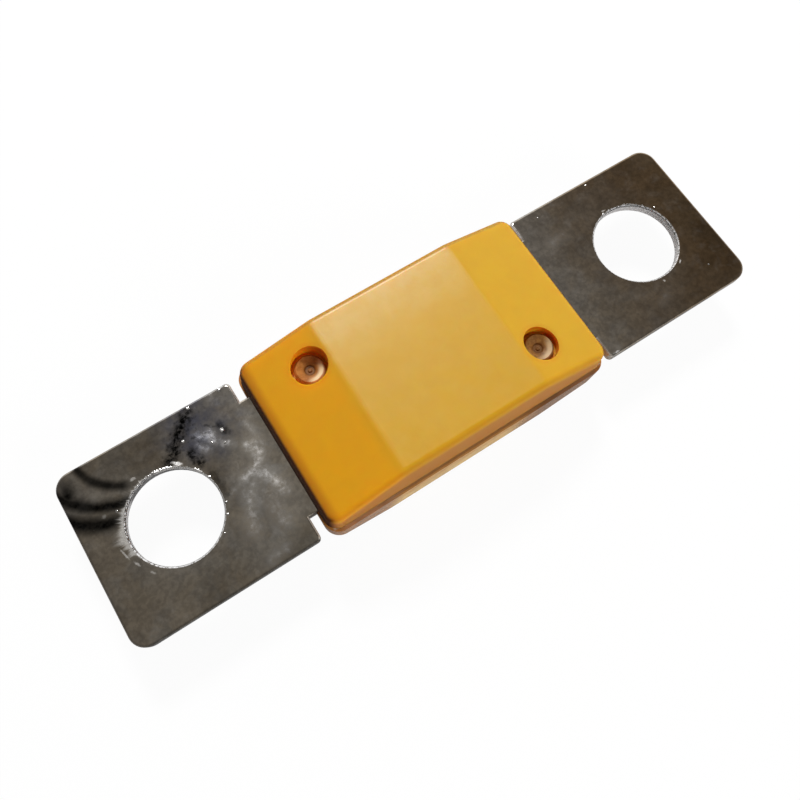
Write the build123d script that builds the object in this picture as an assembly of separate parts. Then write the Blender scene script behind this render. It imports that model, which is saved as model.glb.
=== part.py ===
from build123d import *
import os
from collections import namedtuple
from math import atan2, tan

# Bolt-down fuse for M8 studs. X runs from stud to stud, Y across, +Z up.
# The origin is the middle of the link: between the two stud holes, at half the strip's thickness.
# All sizes are in millimetres.

# Link: one stamped and plated strip.
STRIP = 1.0                  # thickness of the strip
STUD_SPACING = 50.8          # centre to centre of the stud holes
STUD_HOLE = 8.5              # clears an M8 stud
LINK_LENGTH = 66.4
BLADE_WIDTH = 16.7
BLADE_CORNER = 1.6           # outer corners of the blades
SHOULDER_X = 15.75           # where a blade ends and its neck begins
SHOULDER_CORNER = 0.45
NECK_WIDTH = 12.3
NECK_END = 7.0               # the necks stop here, inside the housing
ROLL = 0.28                  # rounding that the punch leaves on the side it enters
LEAD_IN = 0.1                # broken edge round each stud hole, on the same side

# Fusing element: an S of three bars between the necks, thinned at its middle.
BAR_WIDTH = 1.5
BAR_PITCH = 3.2
BAR_TURN_X = 3.1
BAR_BEND = 1.3
BAR_ROOT = 0.4               # inner corners where the bars leave the necks
NOTCH_RADIUS = 0.45
NOTCH_LIP = 0.4

# Rivet pins: two on each cover, on opposite diagonals, through holes in the necks.
PIN_X = 9.2
PIN_Y = 4.46
PIN_DIAMETER = 2.2
PIN_HOLE = 2.5               # in the link
PIN_PASSAGE = 2.3            # in the other cover
PIN_ROOT = 0.5               # the shank starts this deep inside its own boss
HEAD_DIAMETER = 2.8
HEAD_EDGE = 0.35             # height of the head at its outside
CREST_RADIUS = 1.2           # the head is highest on this ring, and dished inside it
CREST_HEIGHT = 0.6
DISH_RADIUS = 0.52           # foot of the dish's slope
DISH_HEIGHT = 0.28
GROOVE_OUTER = 0.4           # groove that the forming tool leaves round its nib mark
GROOVE_INNER = 0.22
GROOVE_HEIGHT = 0.14
NIB_RADIUS = 0.14
NIB_HEIGHT = 0.26
RECESS_DIAMETER = 3.36
BOSS_WALL = 1.2

# Housing: heights are measured from the middle of the strip, away from it.
WALL = 1.2
INNER_CORNER = 0.5           # corners of the cavity in plan
RIB = 1.0                    # clamps the inner end of each neck
SLOT_PLAY = 0.05             # each side of a neck where it leaves the lower cover
SEAM = STRIP / 2             # the covers meet level with the link's upper face
FAR = 40                     # longer than the housing in every direction

Cover = namedtuple("Cover", "half_length half_width corner rim height end_height crease bend draft edge seat")
UPPER = Cover(half_length=14.85, half_width=8.42, corner=1.3, rim=SEAM, height=5.05,
              end_height=2.75, crease=7.25, bend=2.0, draft=5.0, edge=0.65, seat=2.95)
LOWER = Cover(half_length=15.0, half_width=8.75, corner=1.5, rim=-SEAM, height=5.1,
              end_height=2.4, crease=8.7, bend=0, draft=0.8, edge=0.45, seat=3.3)

# Pins that rise from the lower cover, and those that hang from the upper one.
RISING = [(-PIN_X, PIN_Y), (PIN_X, -PIN_Y)]
HANGING = [(-PIN_X, -PIN_Y), (PIN_X, PIN_Y)]


def roof_profile(cover, inset):
    """Side view of a cover: flat in the middle, sloping down to each end, at an even wall thickness."""
    slope = atan2(cover.height - cover.end_height, cover.half_length - cover.crease)
    length = cover.half_length - inset
    height = cover.height - inset
    crease = cover.crease - inset * tan(slope / 2)
    end_height = height - (length - crease) * tan(slope)
    points = [(-length, cover.rim), (-length, end_height), (-crease, height),
              (crease, height), (length, end_height), (length, cover.rim)]
    side = make_face(Polyline(*points, close=True).edges())
    bends = [v for v in side.vertices() if abs(abs(v.X) - crease) < 0.01]
    return fillet(bends, cover.bend) if cover.bend else side


def roof_block(cover, inset=0.0):
    """Solid bounded by the cover's drafted sides and its roof, all moved in by the inset."""
    length = cover.half_length - inset
    width = cover.half_width - inset
    plan = RectangleRounded(2 * length, 2 * width, INNER_CORNER if inset else cover.corner)
    tall = extrude(Pos(0, 0, cover.rim) * plan, cover.height - cover.rim, taper=cover.draft)
    side = roof_profile(cover, inset)
    return tall & extrude(Plane.XZ * side, width, both=True)


def round_roof_edge(block, radius):
    """Rounds the outer edge of the roof and leaves its creases as they are."""
    roof = [f for f in block.faces() if f.normal_at().Z > 0.5]
    seen = [e for f in roof for e in f.edges()]
    border = [e for e in seen if sum(e.is_same(other) for other in seen) == 1]
    return fillet(border, radius)


def bosses(places, diameter, floor):
    return [Pos(x, y, floor) * Cylinder(diameter / 2, FAR, align=(Align.CENTER, Align.CENTER, Align.MIN))
            for x, y in places]


def clamp_ribs(floor):
    """Cross ribs that press on the inner end of each neck."""
    rib = Box(RIB, FAR, FAR, align=(Align.MIN, Align.CENTER, Align.MIN))
    return [Pos(NECK_END, 0, floor) * rib, Pos(-NECK_END - RIB, 0, floor) * rib]


def pin_head(seat):
    """Formed end of a pin, sitting on the seat: a dished head with a groove round a small nib."""
    section = Polyline(
        (0, seat), (HEAD_DIAMETER / 2, seat), (HEAD_DIAMETER / 2, seat + HEAD_EDGE),
        (CREST_RADIUS, seat + CREST_HEIGHT), (DISH_RADIUS, seat + DISH_HEIGHT),
        (GROOVE_OUTER, seat + GROOVE_HEIGHT), (GROOVE_INNER, seat + GROOVE_HEIGHT),
        (NIB_RADIUS, seat + NIB_HEIGHT), (0, seat + NIB_HEIGHT), close=True)
    return revolve(Plane.XZ * make_face(section.edges()), Axis.Z)


def pin(place, seat):
    """Shank from its own boss to the far seat, with its head beyond it. Modelled upright."""
    root = -STRIP / 2 - PIN_ROOT
    shank = Pos(0, 0, root) * Cylinder(PIN_DIAMETER / 2, seat - root,
                                       align=(Align.CENTER, Align.CENTER, Align.MIN))
    return Pos(place[0], place[1], 0) * (shank + pin_head(seat))


def shell(cover, own_pins, passages):
    """A cover with its roof up: walls, ribs and bosses, with recesses over the other cover's pins."""
    outside = round_roof_edge(roof_block(cover), cover.edge)
    body = outside - roof_block(cover, WALL)
    floor = STRIP / 2
    pads = clamp_ribs(floor)
    pads += bosses(own_pins, PIN_DIAMETER + 2 * BOSS_WALL, floor)
    pads += bosses(passages, RECESS_DIAMETER + 2 * BOSS_WALL, floor)
    for pad in pads:
        body += pad & outside
    for recess in bosses(passages, RECESS_DIAMETER, cover.seat):
        body -= recess
    for passage in bosses(passages, PIN_PASSAGE, 0):
        body -= passage
    return body


def upper_cover():
    body = shell(UPPER, HANGING, RISING)
    for place in HANGING:
        body += mirror(pin(place, LOWER.seat), about=Plane.XY)
    return body


def lower_cover():
    body = shell(LOWER, RISING, HANGING)
    neck_slot = Box(FAR, NECK_WIDTH + 2 * SLOT_PLAY, STRIP)
    body -= neck_slot
    body = mirror(body, about=Plane.XY)
    for place in RISING:
        body += pin(place, UPPER.seat)
    return body


def element_outline():
    """The S-shaped bar between the necks."""
    path = FilletPolyline(
        (-NECK_END - 1, BAR_PITCH), (BAR_TURN_X, BAR_PITCH), (BAR_TURN_X, 0),
        (-BAR_TURN_X, 0), (-BAR_TURN_X, -BAR_PITCH), (NECK_END + 1, -BAR_PITCH), radius=BAR_BEND)
    return trace(path, BAR_WIDTH)


def end_outline():
    """Blade and neck of one end, towards +X."""
    blade = Rectangle(LINK_LENGTH / 2 - SHOULDER_X, BLADE_WIDTH, align=(Align.MIN, Align.CENTER))
    neck = Rectangle(SHOULDER_X - NECK_END + 1, NECK_WIDTH, align=(Align.MIN, Align.CENTER))
    return Pos(SHOULDER_X, 0) * blade + Pos(NECK_END, 0) * neck


def corners_at(outline, x, y_from, y_to):
    """Corners of the outline at this distance from the middle, within a band of Y."""
    return [v for v in outline.vertices()
            if abs(abs(v.X) - x) < 0.01 and y_from < abs(v.Y) < y_to]


def link_outline():
    outline = end_outline() + Rot(0, 0, 180) * end_outline() + element_outline()
    outline = fillet(corners_at(outline, LINK_LENGTH / 2, 0, BLADE_WIDTH), BLADE_CORNER)
    outline = fillet(corners_at(outline, SHOULDER_X, BLADE_WIDTH / 2 - 0.1, BLADE_WIDTH), SHOULDER_CORNER)
    outline = fillet(corners_at(outline, NECK_END, 0, NECK_WIDTH / 2 - 0.1), BAR_ROOT)
    for side in (-1, 1):
        outline -= Pos(0, side * BAR_WIDTH / 2) * Circle(NOTCH_RADIUS)
        outline -= Pos(side * STUD_SPACING / 2, 0) * Circle(STUD_HOLE / 2)
    lips = [v for v in outline.vertices()
            if abs(abs(v.X) - NOTCH_RADIUS) < 0.01 and abs(abs(v.Y) - BAR_WIDTH / 2) < 0.01]
    return fillet(lips, NOTCH_LIP)


def fuse_link():
    """The outline at full thickness, its upper rim rolled and the edges of its stud holes broken."""
    strip = Pos(0, 0, -STRIP / 2) * extrude(link_outline(), STRIP)
    top = strip.faces().sort_by(Axis.Z)[-1]
    outside = [e for e in top.edges() if abs(e.center().X) > NECK_END + 0.5]
    strip = fillet([e for e in outside if not e.is_closed], ROLL)
    top = strip.faces().sort_by(Axis.Z)[-1]
    strip = chamfer([e for e in top.edges() if e.is_closed], LEAD_IN)
    for x, y in RISING + HANGING:
        strip -= Pos(x, y, 0) * Cylinder(PIN_HOLE / 2, 2 * STRIP)
    return strip


def main():
    os.makedirs("parts", exist_ok=True)
    pieces = {
        "fuse_link": fuse_link(),
        "upper_cover": upper_cover(),
        "lower_cover": lower_cover(),
    }
    for name, piece in pieces.items():
        piece.label = name
        export_step(piece, f"parts/{name}.step")
        print(name, "volume", round(piece.volume, 2), "mm3")


main()
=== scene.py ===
# %% [markdown]
# # A bolt-down fuse
# A plated metal strip with a stud hole at each end, clamped between an amber cover and a clear one.
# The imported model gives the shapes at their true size. Everything below gives them their surfaces,
# adds the small marks that stamping and handling leave, and sets up the light and the camera.

from math import cos, pi, radians, sin

import bmesh
import bpy
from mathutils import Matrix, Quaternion, Vector, noise


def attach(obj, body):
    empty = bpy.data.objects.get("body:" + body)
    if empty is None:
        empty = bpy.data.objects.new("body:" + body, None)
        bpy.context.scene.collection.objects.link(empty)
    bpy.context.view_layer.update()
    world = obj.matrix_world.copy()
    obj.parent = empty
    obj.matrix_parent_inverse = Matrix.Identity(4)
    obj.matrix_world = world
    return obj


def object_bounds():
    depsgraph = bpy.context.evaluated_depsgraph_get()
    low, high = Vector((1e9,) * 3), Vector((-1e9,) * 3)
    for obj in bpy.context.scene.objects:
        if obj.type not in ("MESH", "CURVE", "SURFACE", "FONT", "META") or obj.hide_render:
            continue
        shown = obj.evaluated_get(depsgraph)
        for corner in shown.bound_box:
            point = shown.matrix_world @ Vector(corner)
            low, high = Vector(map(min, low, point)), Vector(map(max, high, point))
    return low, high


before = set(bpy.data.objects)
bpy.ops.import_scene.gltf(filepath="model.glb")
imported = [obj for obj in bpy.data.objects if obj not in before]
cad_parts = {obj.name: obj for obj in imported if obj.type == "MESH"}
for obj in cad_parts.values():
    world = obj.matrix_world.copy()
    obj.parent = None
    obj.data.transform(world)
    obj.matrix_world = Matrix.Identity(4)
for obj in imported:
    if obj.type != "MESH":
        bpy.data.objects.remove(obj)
cad_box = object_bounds()
MM = 0.001
print("nodes:", sorted(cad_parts))
print("CAD box in mm:", [round(v / MM, 2) for corner in cad_box for v in corner])

# %% [markdown]
# ## Camera
# The fuse is seen from close by, steeply from above its front left corner, so the near blade looks
# larger than the far one. A camera can be aimed with a Track To constraint or by hand. Here the
# rotation is worked out once from a point it looks at, and then rolled a little about its own axis.

# %% Camera
NEAREST_SEEN = 1  # mm


def add_camera(place_mm, aim_mm, roll_deg, lens_mm, shift):
    data = bpy.data.cameras.new("camera")
    data.lens = lens_mm
    data.shift_x, data.shift_y = shift
    data.clip_start = NEAREST_SEEN * MM
    camera = bpy.data.objects.new("camera", data)
    place = Vector(place_mm) * MM
    look = Vector(aim_mm) * MM - place
    roll = Quaternion((0, 0, 1), radians(roll_deg))
    camera.rotation_mode = "QUATERNION"
    camera.rotation_quaternion = look.to_track_quat("-Z", "Y") @ roll
    camera.location = place
    bpy.context.scene.collection.objects.link(camera)
    bpy.context.scene.camera = camera
    return camera


camera = add_camera(place_mm=(-17.05, -15.81, 63.21), aim_mm=(-4.35, 0.08, 0), roll_deg=6.55,
                    lens_mm=32.55, shift=(0.0225, -0.0075))
print("camera is", round(camera.location.length / MM, 1), "mm from the middle of the link")

# %% [markdown]
# ## Small helpers for node materials
# A material is a graph of nodes. Writing it out link by link is long, so one helper adds a node,
# sets its values and joins its inputs in a single call, and short helpers stand for the usual sums.

# %% Nodes and sums of numbers
def add_node(tree, kind, inputs=None, **settings):
    """Adds a node. An input given as a socket is linked, and any other value is set."""
    node = tree.nodes.new(kind)
    for name, value in settings.items():
        setattr(node, name, value)
    for name, value in (inputs or {}).items():
        socket = node.inputs[name]
        if isinstance(value, bpy.types.NodeSocket):
            tree.links.new(value, socket)
        else:
            socket.default_value = value
    return node


def calc(tree, operation, a, b=0.0, clamp=False):
    node = add_node(tree, "ShaderNodeMath", {0: a, 1: b}, operation=operation, use_clamp=clamp)
    return node.outputs[0]


def folded(tree, operation, values):
    total = values[0]
    for value in values[1:]:
        total = calc(tree, operation, total, value)
    return total


def plus(tree, *values):
    return folded(tree, "ADD", values)


def minus(tree, a, b):
    return calc(tree, "SUBTRACT", a, b)


def times(tree, *values):
    return folded(tree, "MULTIPLY", values)


def highest(tree, *values):
    return folded(tree, "MAXIMUM", values)


def unsigned(tree, value):
    return calc(tree, "ABSOLUTE", value)


def rise(tree, value, start, end):
    """0 below start, 1 above end, and smooth between them. With end below start it falls."""
    node = add_node(tree, "ShaderNodeMapRange", {"Value": value, "From Min": start, "From Max": end},
                    interpolation_type="SMOOTHSTEP", clamp=True)
    return node.outputs["Result"]


print("sums of numbers are ready")

# %% Sums of vectors and colours
GIVE_A_NUMBER = ("LENGTH", "DISTANCE", "DOT_PRODUCT")


def vector_calc(tree, operation, a, b=(0, 0, 0), scale=None):
    inputs = {0: a, 1: b} if scale is None else {0: a, "Scale": scale}
    node = add_node(tree, "ShaderNodeVectorMath", inputs, operation=operation)
    return node.outputs["Value" if operation in GIVE_A_NUMBER else "Vector"]


def blend(tree, factor, a, b, mode="MIX"):
    """Mixes two colours. A colour is given as three numbers or as a socket."""
    a = a if isinstance(a, bpy.types.NodeSocket) else (*a, 1)
    b = b if isinstance(b, bpy.types.NodeSocket) else (*b, 1)
    node = add_node(tree, "ShaderNodeMix", {0: factor, 6: a, 7: b}, data_type="RGBA", blend_type=mode)
    return node.outputs[2]


def filter_by(tree, factor, color, glass):
    """The colour as seen through coloured glass."""
    return blend(tree, factor, color, glass, "MULTIPLY")


def blend_value(tree, factor, a, b):
    return add_node(tree, "ShaderNodeMix", {0: factor, 2: a, 3: b}, data_type="FLOAT").outputs[0]


def split(tree, vector):
    return add_node(tree, "ShaderNodeSeparateXYZ", {0: vector}).outputs


print("vector sums that give a number:", *GIVE_A_NUMBER)

# %% Where a point lies
def place_in_mm(tree):
    """Where a point lies on the object, in millimetres from the middle of the link."""
    coords = tree.nodes.new("ShaderNodeTexCoord")
    return vector_calc(tree, "SCALE", coords.outputs["Object"], scale=1 / MM)


def normal_parts(tree):
    """How far the surface faces along X, Y and up, each from -1 to 1."""
    return split(tree, tree.nodes.new("ShaderNodeNewGeometry").outputs["Normal"])


def noise_value(tree, place, size, detail, roughness=0.5):
    """Soft noise about 0.5, with features of the size, in mm."""
    return add_node(tree, "ShaderNodeTexNoise", {
        "Vector": place, "Scale": 1 / size, "Detail": detail, "Roughness": roughness}).outputs["Fac"]


print("1 Blender unit is", 1 / MM, "mm here")

# %% [markdown]
# ## Materials and what wears them
# Each CAD node keeps its mesh and gets a material in its slots.

# %% Material helpers
def new_material(name):
    material = bpy.data.materials.new(name)
    material.use_nodes = True
    material.node_tree.nodes.clear()
    return material, material.node_tree


def finish_material(material, shader):
    tree = material.node_tree
    output = tree.nodes.new("ShaderNodeOutputMaterial")
    tree.links.new(shader.outputs[0], output.inputs["Surface"])
    print(material.name, "has", len(tree.nodes), "nodes")


def dress(node_name, material):
    """Gives a CAD node its material."""
    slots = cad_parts[node_name].material_slots
    for slot in slots:
        slot.material = material
    print(node_name, "wears", material.name)


print("to dress:", sorted(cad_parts))

# %% [markdown]
# ## Effects that several surfaces share
# Cloudy tone, patches, specks and hairlines turn up on metal and plastic alike, at other sizes and
# strengths. Each is one node group with named sockets, so that a material only states its values.

# %% Group helper
FLOAT, VECTOR = "NodeSocketFloat", "NodeSocketVector"


def new_group(name, inputs):
    """Makes an empty node group that puts out one mask. Inputs are name, type and starting value."""
    group = bpy.data.node_groups.new(name, "ShaderNodeTree")
    for socket_name, kind, value in inputs:
        socket = group.interface.new_socket(name=socket_name, in_out="INPUT", socket_type=kind)
        if value is not None:
            socket.default_value = value
    group.interface.new_socket(name="Mask", in_out="OUTPUT", socket_type=FLOAT)
    return group, group.nodes.new("NodeGroupInput").outputs


def finish_group(group, mask):
    group.links.new(mask, group.nodes.new("NodeGroupOutput").inputs["Mask"])
    print("group", group.name, "has", len(group.nodes), "nodes")
    return group


def use_group(tree, group, values):
    return add_node(tree, "ShaderNodeGroup", values, node_tree=group).outputs["Mask"]


print("groups put out one mask of type", FLOAT)

# %% [markdown]
# ### Cloud
# No real surface has one even tone. Soft noise of a chosen size, with its contrast raised, gives the
# uneven gloss of plating and the drift of colour in a moulding.

# %% Cloud
def make_cloud():
    group, start = new_group("cloud", [
        ("Place", VECTOR, None), ("Size", FLOAT, 2.0), ("Detail", FLOAT, 3.0),
        ("Low", FLOAT, 0.4), ("High", FLOAT, 0.6), ("Warp", FLOAT, 0.3)])
    grain = add_node(group, "ShaderNodeTexNoise", {
        "Vector": start["Place"], "Scale": calc(group, "DIVIDE", 1.0, start["Size"]),
        "Detail": start["Detail"], "Roughness": 0.55, "Distortion": start["Warp"]})
    return finish_group(group, rise(group, grain.outputs["Fac"], start["Low"], start["High"]))


CLOUD = make_cloud()


def cloud(tree, place, size, low=0.4, high=0.6, detail=3.0, warp=0.3):
    return use_group(tree, CLOUD, {
        "Place": place, "Size": size, "Detail": detail, "Low": low, "High": high, "Warp": warp})


# %% [markdown]
# ### Patch
# Handling marks keep to their own places. A patch is an oval at a stated place and angle, whose
# outline is pulled about by noise so that it doesn't read as an oval.

# %% Patch
def make_patch():
    group, start = new_group("patch", [
        ("Place", VECTOR, None), ("Centre", VECTOR, (0, 0, 0)), ("Reach", VECTOR, (1, 1, 1)),
        ("Turn", FLOAT, 0.0), ("Rag", FLOAT, 0.3), ("Rag Size", FLOAT, 1.0), ("Core", FLOAT, 0.3)])
    offset = vector_calc(group, "SUBTRACT", start["Place"], start["Centre"])
    turned_shade = add_node(group, "ShaderNodeVectorRotate", {"Vector": offset, "Angle": start["Turn"]},
                      rotation_type="Z_AXIS").outputs[0]
    far = vector_calc(group, "LENGTH", vector_calc(group, "DIVIDE", turned_shade, start["Reach"]))
    rag = add_node(group, "ShaderNodeTexNoise", {
        "Vector": start["Place"], "Scale": calc(group, "DIVIDE", 1.0, start["Rag Size"]),
        "Detail": 4.0}).outputs["Fac"]
    pull = times(group, minus(group, rag, 0.5), times(group, start["Rag"], 4.0))
    return finish_group(group, rise(group, plus(group, far, pull), 1.0, start["Core"]))


PATCH = make_patch()
ANY_HEIGHT = 1000  # mm: a patch goes right through the object


def patch(tree, place, centre, reach, turn=0.0, rag=0.3, rag_size=1.0, core=0.3):
    """Reach is the oval's two half lengths, and turn is in degrees."""
    return use_group(tree, PATCH, {
        "Place": place, "Centre": (*centre, 0), "Reach": (*reach, ANY_HEIGHT),
        "Turn": radians(-turn), "Rag": rag, "Rag Size": rag_size, "Core": core})


# %% [markdown]
# ### Specks
# Dust, pits and plating grains are points: cells of a Voronoi texture, of which only the very middle
# is kept, and only in some of the cells.

# %% Specks
def make_specks():
    group, start = new_group("specks", [
        ("Place", VECTOR, None), ("Spacing", FLOAT, 1.0), ("Size", FLOAT, 0.1), ("Share", FLOAT, 0.5)])
    cells = add_node(group, "ShaderNodeTexVoronoi", {
        "Vector": start["Place"], "Scale": calc(group, "DIVIDE", 1.0, start["Spacing"]),
        "Randomness": 1.0})
    chance = add_node(group, "ShaderNodeSeparateColor", {0: cells.outputs["Color"]}).outputs[0]
    size = times(group, calc(group, "DIVIDE", start["Size"], start["Spacing"]),
                 plus(group, chance, 0.4))
    point = rise(group, cells.outputs["Distance"], size, times(group, size, 0.4))
    kept = calc(group, "LESS_THAN", chance, start["Share"])
    return finish_group(group, times(group, point, kept))


SPECKS = make_specks()


def specks(tree, place, spacing, size, share=0.5):
    return use_group(tree, SPECKS, {"Place": place, "Spacing": spacing, "Size": size, "Share": share})


# %% [markdown]
# ### Wisps
# A fine cloth or a finger leaves thin pale threads where it has dulled a mirror finish. Where noise
# crosses its middle value it traces such threads, and a second, finer noise thins them out.

# %% Wisps
def make_wisps():
    group, start = new_group("wisps", [
        ("Place", VECTOR, None), ("Size", FLOAT, 2.0), ("Width", FLOAT, 0.05), ("Warp", FLOAT, 0.8)])
    scale = calc(group, "DIVIDE", 1.0, start["Size"])
    path = add_node(group, "ShaderNodeTexNoise", {
        "Vector": start["Place"], "Scale": scale, "Detail": 5.0, "Roughness": 0.6,
        "Distortion": start["Warp"]}).outputs["Fac"]
    thread = add_node(group, "ShaderNodeMapRange", {
        "Value": unsigned(group, minus(group, path, 0.5)), "From Min": start["Width"],
        "From Max": 0.0}, interpolation_type="SMOOTHERSTEP", clamp=True).outputs[0]
    thin = add_node(group, "ShaderNodeTexNoise", {
        "Vector": start["Place"], "Scale": times(group, scale, 1.7), "Detail": 6.0,
        "Roughness": 0.7}).outputs["Fac"]
    return finish_group(group, times(group, thread, rise(group, thin, 0.35, 0.68)))


WISPS = make_wisps()


def wisps(tree, place, size, width=0.05, warp=0.8):
    return use_group(tree, WISPS, {"Place": place, "Size": size, "Width": width, "Warp": warp})


# %% [markdown]
# ### Stroke
# Soot and rub marks run in streaks. A stroke is everything near the line between two points, and
# several strokes end to end make a streak that bends. Pull makes the edge uneven: it is a noise that
# is read once for all strokes, because a texture in each of them would be slow.

# %% Stroke
IN_PLAN = (1, 1, 0)  # times a vector, this drops its height


def make_stroke():
    group, start = new_group("stroke", [
        ("Place", VECTOR, None), ("From", VECTOR, (0, 0, 0)), ("To", VECTOR, (1, 0, 0)),
        ("Half Width", FLOAT, 0.3), ("Pull", FLOAT, 0.0), ("Core", FLOAT, 0.2)])
    flat = vector_calc(group, "MULTIPLY", start["Place"], IN_PLAN)
    run = vector_calc(group, "SUBTRACT", start["To"], start["From"])
    offset = vector_calc(group, "SUBTRACT", flat, start["From"])
    part = calc(group, "DIVIDE", vector_calc(group, "DOT_PRODUCT", offset, run),
                vector_calc(group, "DOT_PRODUCT", run, run), clamp=True)
    nearest = vector_calc(group, "SCALE", run, scale=part)
    far = vector_calc(group, "DISTANCE", offset, nearest)
    wide = calc(group, "DIVIDE", far, start["Half Width"])
    return finish_group(group, rise(group, plus(group, wide, start["Pull"]), 1.0, start["Core"]))


STROKE = make_stroke()


def streak(tree, place, points, half_width, pull, core):
    """Strokes through a row of points."""
    strokes = [use_group(tree, STROKE, {
        "Place": place, "From": (*a, 0), "To": (*b, 0), "Half Width": half_width, "Pull": pull,
        "Core": core}) for a, b in zip(points, points[1:])]
    return highest(tree, *strokes)


# %% [markdown]
# ### Torn rim
# A punch leaves a torn, bright edge round a hole in plated strip. The mask is a ring that is widest
# on its heavy side. Noise read along the rim changes its width quickly, so it forms short teeth that
# point away from the hole.

# %% Torn rim
def make_torn_rim():
    group, start = new_group("torn rim", [
        ("Place", VECTOR, None), ("Centre", VECTOR, (0, 0, 0)), ("Radius", FLOAT, 4.25),
        ("Width", FLOAT, 0.4), ("Heavy Side", FLOAT, 0.0), ("Reach", FLOAT, 1.0),
        ("Least", FLOAT, 0.3), ("Teeth", FLOAT, 0.25)])
    offset = vector_calc(group, "SUBTRACT", start["Place"], start["Centre"])
    flat = vector_calc(group, "MULTIPLY", offset, IN_PLAN)
    radius = vector_calc(group, "LENGTH", flat)
    x, y, _ = split(group, flat)
    angle = calc(group, "ARCTAN2", y, x)
    round_rim = vector_calc(group, "NORMALIZE", flat)
    tooth_place = vector_calc(group, "SCALE", round_rim,
                              scale=calc(group, "DIVIDE", start["Radius"], start["Teeth"]))
    teeth = add_node(group, "ShaderNodeMapRange", {
        "Value": noise_value(group, tooth_place, 1.0, 3.0, 0.7), "From Min": 0.35, "From Max": 0.7,
        "To Min": 0.3, "To Max": 1.6}).outputs[0]
    # Angle from the heavy side, from 0 there to 1 at the reach.
    turn = calc(group, "ARCCOSINE", calc(group, "COSINE", minus(group, angle, start["Heavy Side"])))
    side = rise(group, calc(group, "DIVIDE", turn, start["Reach"]), 1.0, 0.4)
    width = times(group, start["Width"], highest(group, side, start["Least"]), teeth)
    depth = calc(group, "DIVIDE", minus(group, radius, start["Radius"]), plus(group, width, 0.001))
    return finish_group(group, rise(group, depth, 1.2, 0.35))


TORN_RIM = make_torn_rim()

# %% Torn rim, use
STUD_HOLE = 8.5
STUD_X = 25.4


def torn_rim(tree, place, centre_x, width, heavy_side, reach, least, teeth):
    """Width and teeth are in mm, heavy side and reach in degrees."""
    return use_group(tree, TORN_RIM, {
        "Place": place, "Centre": (centre_x, 0, 0), "Radius": STUD_HOLE / 2, "Width": width,
        "Heavy Side": radians(heavy_side), "Reach": radians(reach), "Least": least, "Teeth": teeth})


print("stud holes:", STUD_HOLE, "mm wide,", 2 * STUD_X, "mm apart")

# %% [markdown]
# ## Plated strip
# The link is stamped from sheet and tin plated bright, so it mirrors the room: darkest where it
# mirrors the ceiling. What makes it look used is where that mirror fails: pale smears beside the
# housing, a bluish rub with a black streak above the near hole, and a browner tone on the far blade.
# Dark bands where the end was bent and flattened, and a dark rolled edge on the near blade, are
# painted reflections of the dark. Each is a mask that changes colour and roughness.

# %% Plated strip, distance and shake
def distance_from(tree, place, centre):
    """Distance in plan from an upright axis."""
    offset = vector_calc(tree, "SUBTRACT", place, (*centre, 0))
    return vector_calc(tree, "LENGTH", vector_calc(tree, "MULTIPLY", offset, IN_PLAN))


def shaken(tree, place, size, amount):
    """The place pushed about by soft noise, so that what is drawn with it isn't regular."""
    wave = add_node(tree, "ShaderNodeTexNoise", {"Vector": place, "Scale": 1 / size, "Detail": 3.0})
    centred = vector_calc(tree, "SUBTRACT", wave.outputs["Color"], (0.5, 0.5, 0.5))
    return vector_calc(tree, "ADD", place, vector_calc(tree, "SCALE", centred, scale=2 * amount))


print("link covers x from", -round(cad_box[1].x / MM, 1), "to", round(cad_box[1].x / MM, 1), "mm")

# %% [markdown]
# The near end of the strip isn't quite flat, so it mirrors the dark in arcs. These arcs are a painted
# reflection: three rings, of which a soft oval keeps only the part on the blade, paint them dark into
# the colour with an even width and a soft edge.

# %% Plated strip, bands
REFLECTION_BANDS = [  # centre, radius, half width and depth of each dark band, in mm
    ((-26.3, 9.0), 4.55, 0.7, 0.92),
    ((-26.8, 10.6), 7.5, 1.05, 1.0),
    ((-27.8, 9.29), 7.41, 1.3, 1.0),
]


def painted_reflection_bands(tree, place):
    """Dark bands in arcs, and a dark patch at the corner that they run into, all a painted reflection
    of the dark.
    """
    moved = shaken(tree, place, 1.6, 0.16)
    grain = cloud(tree, place, 0.35, 0.3, 0.7, detail=4)
    bands = patch(tree, place, (-32.4, 6.4), (1.35, 2.5), turn=-12, rag=0.10, core=0.0)
    for centre, radius, half_width, depth in REFLECTION_BANDS:
        off = unsigned(tree, minus(tree, distance_from(tree, moved, centre), radius))
        band = times(tree, rise(tree, off, half_width, half_width * 0.1), depth)
        bands = highest(tree, bands, band)
    keep = patch(tree, place, (-31.4, 5.2), (4.9, 4.4), rag=0.05, rag_size=2.0, core=0.7)
    return calc(tree, "SUBTRACT", times(tree, bands, keep), times(tree, grain, 0.07), clamp=True)


print(len(REFLECTION_BANDS), "bands at the end of the near blade")

# %% [markdown]
# The other marks keep to their own places, so they are listed by place in millimetres. Streaks are
# given as the points they run through. Patches are given as centre, two half lengths and angle.

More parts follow.
